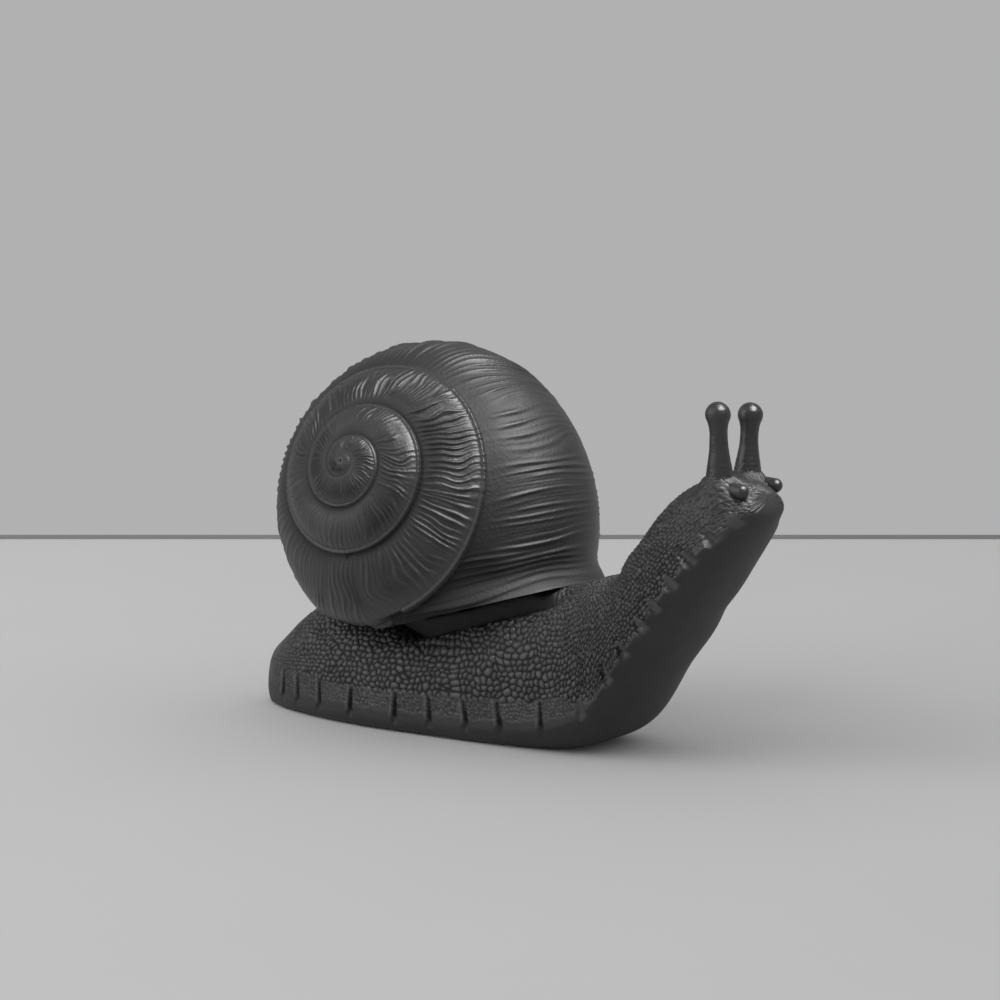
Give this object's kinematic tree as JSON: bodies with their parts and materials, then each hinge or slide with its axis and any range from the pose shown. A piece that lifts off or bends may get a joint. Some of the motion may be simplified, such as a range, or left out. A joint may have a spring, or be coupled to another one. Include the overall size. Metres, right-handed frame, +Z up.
{
  "type": "cast garden snail figurine",
  "caption": "Free-standing garden ornament: a snail rearing its head, with a coiled shell seated on its back, eyestalks and feelers, resting on a felt-lined sole.",
  "frame": {"origin": "on the floor, under the middle of the foot, in the body's middle plane", "axes": "+X forward to the head, +Y to the snail's left, +Z up; the coiled shell's spire points to -Y"},
  "size_m": [0.208, 0.0998, 0.1297],
  "materials": {
    "body_paint": "satin graphite finish on casting resin, with a relief of fine scales",
    "shell_paint": "satin graphite finish on casting resin, with growth lines",
    "steel": "zinc plated",
    "felt": "pressed felt"
  },
  "bodies": {
    "root": {"body_casting": "body_paint", "shell_casting": "shell_paint", "right_eyestalk": "body_paint", "left_eyestalk": "body_paint", "right_feeler": "body_paint", "left_feeler": "body_paint", "eyestalk_cores": "steel", "shell_screws": "steel", "shell_screw_washers": "steel", "felt_sheet": "felt"}
  },
  "joints": []
}
